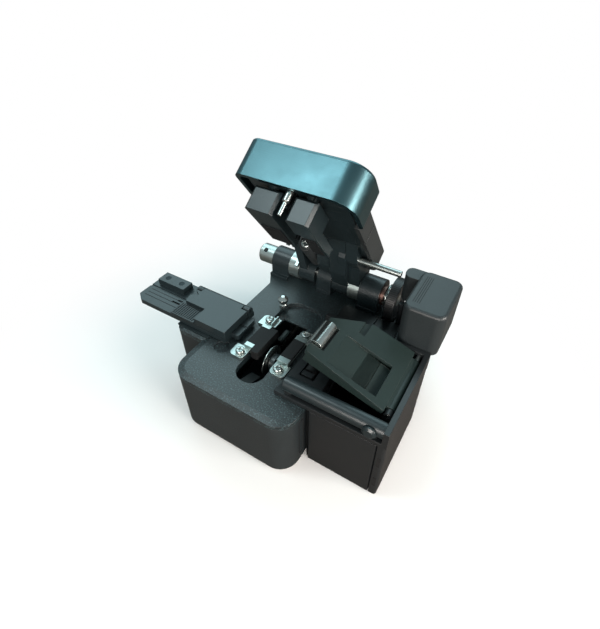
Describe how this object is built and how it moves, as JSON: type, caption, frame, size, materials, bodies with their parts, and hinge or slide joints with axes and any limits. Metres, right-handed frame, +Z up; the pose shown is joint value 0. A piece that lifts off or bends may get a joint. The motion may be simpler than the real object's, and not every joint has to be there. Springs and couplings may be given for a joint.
{
  "type": "optical fibre cleaver",
  "caption": "Bench-top optical fibre cleaver, open, with hinged arm, fibre clamps, sliding blade, side holder with lid and a scrap collector with rollers and drawer.",
  "frame": {"origin": "on the resting plane, straight below the point where the fibre is cleaved", "axes": "+X along the fibre from the holder to the scrap collector, +Y back to the arm's hinge, +Z up"},
  "size_m": [0.142, 0.0972, 0.1182],
  "materials": {
    "rubber_mat": "matte",
    "alloy": "satin",
    "black_case": "satin",
    "black_deck": "matte",
    "black_rubber": "matte",
    "steel": "satin",
    "chrome_pin": "gloss",
    "black_anodised": "satin",
    "bronze": "satin",
    "black_plastic": "matte",
    "dark_steel": "satin",
    "grey_case": "satin",
    "teal_cap": "satin",
    "olive_plastic": "satin"
  },
  "bodies": {
    "base": {"base_mat": "rubber_mat", "bottom_plate": "alloy", "base_housing": "black_case", "top_plate": "black_deck", "left_clamp_base": "alloy", "left_clamp_bar": "black_rubber", "left_clamp_pad": "black_rubber", "right_clamp_base": "alloy", "right_clamp_pad": "black_rubber", "clamp_washers": "steel", "clamp_screws": "steel", "fibre_guide_clip": "alloy", "stop_stud": "chrome_pin", "hinge_lug_left": "black_anodised", "hinge_lug_right": "black_anodised", "hinge_lug_middle": "black_anodised", "bearing_bush": "bronze", "torsion_spring": "steel", "guide_rails": "steel", "collector_case": "black_plastic", "collector_rail": "black_anodised", "rail_brackets": "black_plastic", "rail_end_pin": "black_anodised", "lid_hinge_pin": "steel", "feed_bearings": "black_plastic", "drive_housing": "black_case", "drive_stay": "black_plastic", "cover_plate": "black_plastic", "holder_rail": "black_anodised"},
    "arm": {"hinge_shaft": "steel", "shaft_knob": "alloy", "knob_set_screw": "dark_steel", "shaft_collar_left": "alloy", "shaft_collar_right": "alloy", "drive_drum": "black_plastic", "arm_frame": "black_anodised", "arm_rear_shell": "grey_case", "arm_cap": "teal_cap", "anvil": "dark_steel", "front_stop_pin": "steel", "adjuster_barrel": "grey_case", "adjuster_screw": "steel", "trip_bracket": "alloy", "cross_rod": "steel"},
    "clamp_left": {"upper_clamp_left": "black_anodised", "upper_pad_left": "black_rubber", "clamp_side_screws": "steel"},
    "clamp_right": {"upper_clamp_right": "black_anodised", "upper_pad_right": "black_rubber"},
    "carriage": {"blade_carriage": "black_anodised", "blade_hub_screw": "steel"},
    "blade": {"blade_wheel": "steel"},
    "collector_cover": {"collector_lid": "olive_plastic", "feed_roller_pin": "steel"},
    "upper_roller": {"feed_roller_upper": "chrome_pin"},
    "lower_roller": {"feed_roller_lower": "black_rubber"},
    "bin": {"scrap_bin": "black_plastic"},
    "holder": {"fibre_holder": "black_anodised", "holder_pin": "dark_steel"},
    "holder_cover": {"holder_lid": "black_anodised"}
  },
  "joints": [
    {"name": "arm_hinge", "type": "hinge", "parent": "base", "child": "arm", "pos_m": [0, 0.051, 0.0433], "axis": [1, 0, 0], "range_deg": [0, 53.5], "stiffness_Nm_per_rad": 0.09, "springref_deg": -42.97},
    {"name": "left_clamp_press", "type": "slide", "parent": "arm", "child": "clamp_left", "axis": [0, 0.8039, 0.5948], "range_m": [0, 0.0012], "stiffness_N_per_m": 900, "springref_m": -0.001},
    {"name": "right_clamp_press", "type": "slide", "parent": "arm", "child": "clamp_right", "axis": [0, 0.8039, 0.5948], "range_m": [0, 0.0012], "stiffness_N_per_m": 900, "springref_m": -0.001},
    {"name": "carriage_slide", "type": "slide", "parent": "base", "child": "carriage", "axis": [0, 1, 0], "range_m": [0, 0.014]},
    {"name": "blade_turn", "type": "hinge", "parent": "carriage", "child": "blade", "pos_m": [0.002, -0.005, 0.03185], "axis": [1, 0, 0], "continuous": true},
    {"name": "collector_cover_hinge", "type": "hinge", "parent": "base", "child": "collector_cover", "pos_m": [0.06, 0.004, 0.0432], "axis": [0, 1, 0], "range_deg": [-18, 0]},
    {"name": "upper_roller_spin", "type": "hinge", "parent": "collector_cover", "child": "upper_roller", "pos_m": [0.02443, 0.0003, 0.05476], "axis": [0, 1, 0], "continuous": true},
    {"name": "lower_roller_spin", "type": "hinge", "parent": "base", "child": "lower_roller", "pos_m": [0.0226, 0.0003, 0.0365], "axis": [0, 1, 0], "range_deg": [-220, 0]},
    {"name": "bin_slide", "type": "slide", "parent": "base", "child": "bin", "axis": [0, -1, 0], "range_m": [0, 0.034]},
    {"name": "holder_slide", "type": "slide", "parent": "base", "child": "holder", "axis": [-1, 0, 0], "range_m": [0, 0.02]},
    {"name": "holder_lid_hinge", "type": "hinge", "parent": "holder", "child": "holder_cover", "pos_m": [-0.034, 0.008, 0.042], "axis": [-1, 0, 0], "range_deg": [0, 170]}
  ],
  "couplings": [
    {"joint": "carriage_slide", "follows": "arm_hinge", "m_per_rad": 0.01499},
    {"joint": "collector_cover_hinge", "follows": "arm_hinge", "ratio": -0.3364},
    {"joint": "lower_roller_spin", "follows": "arm_hinge", "ratio": -4}
  ]
}
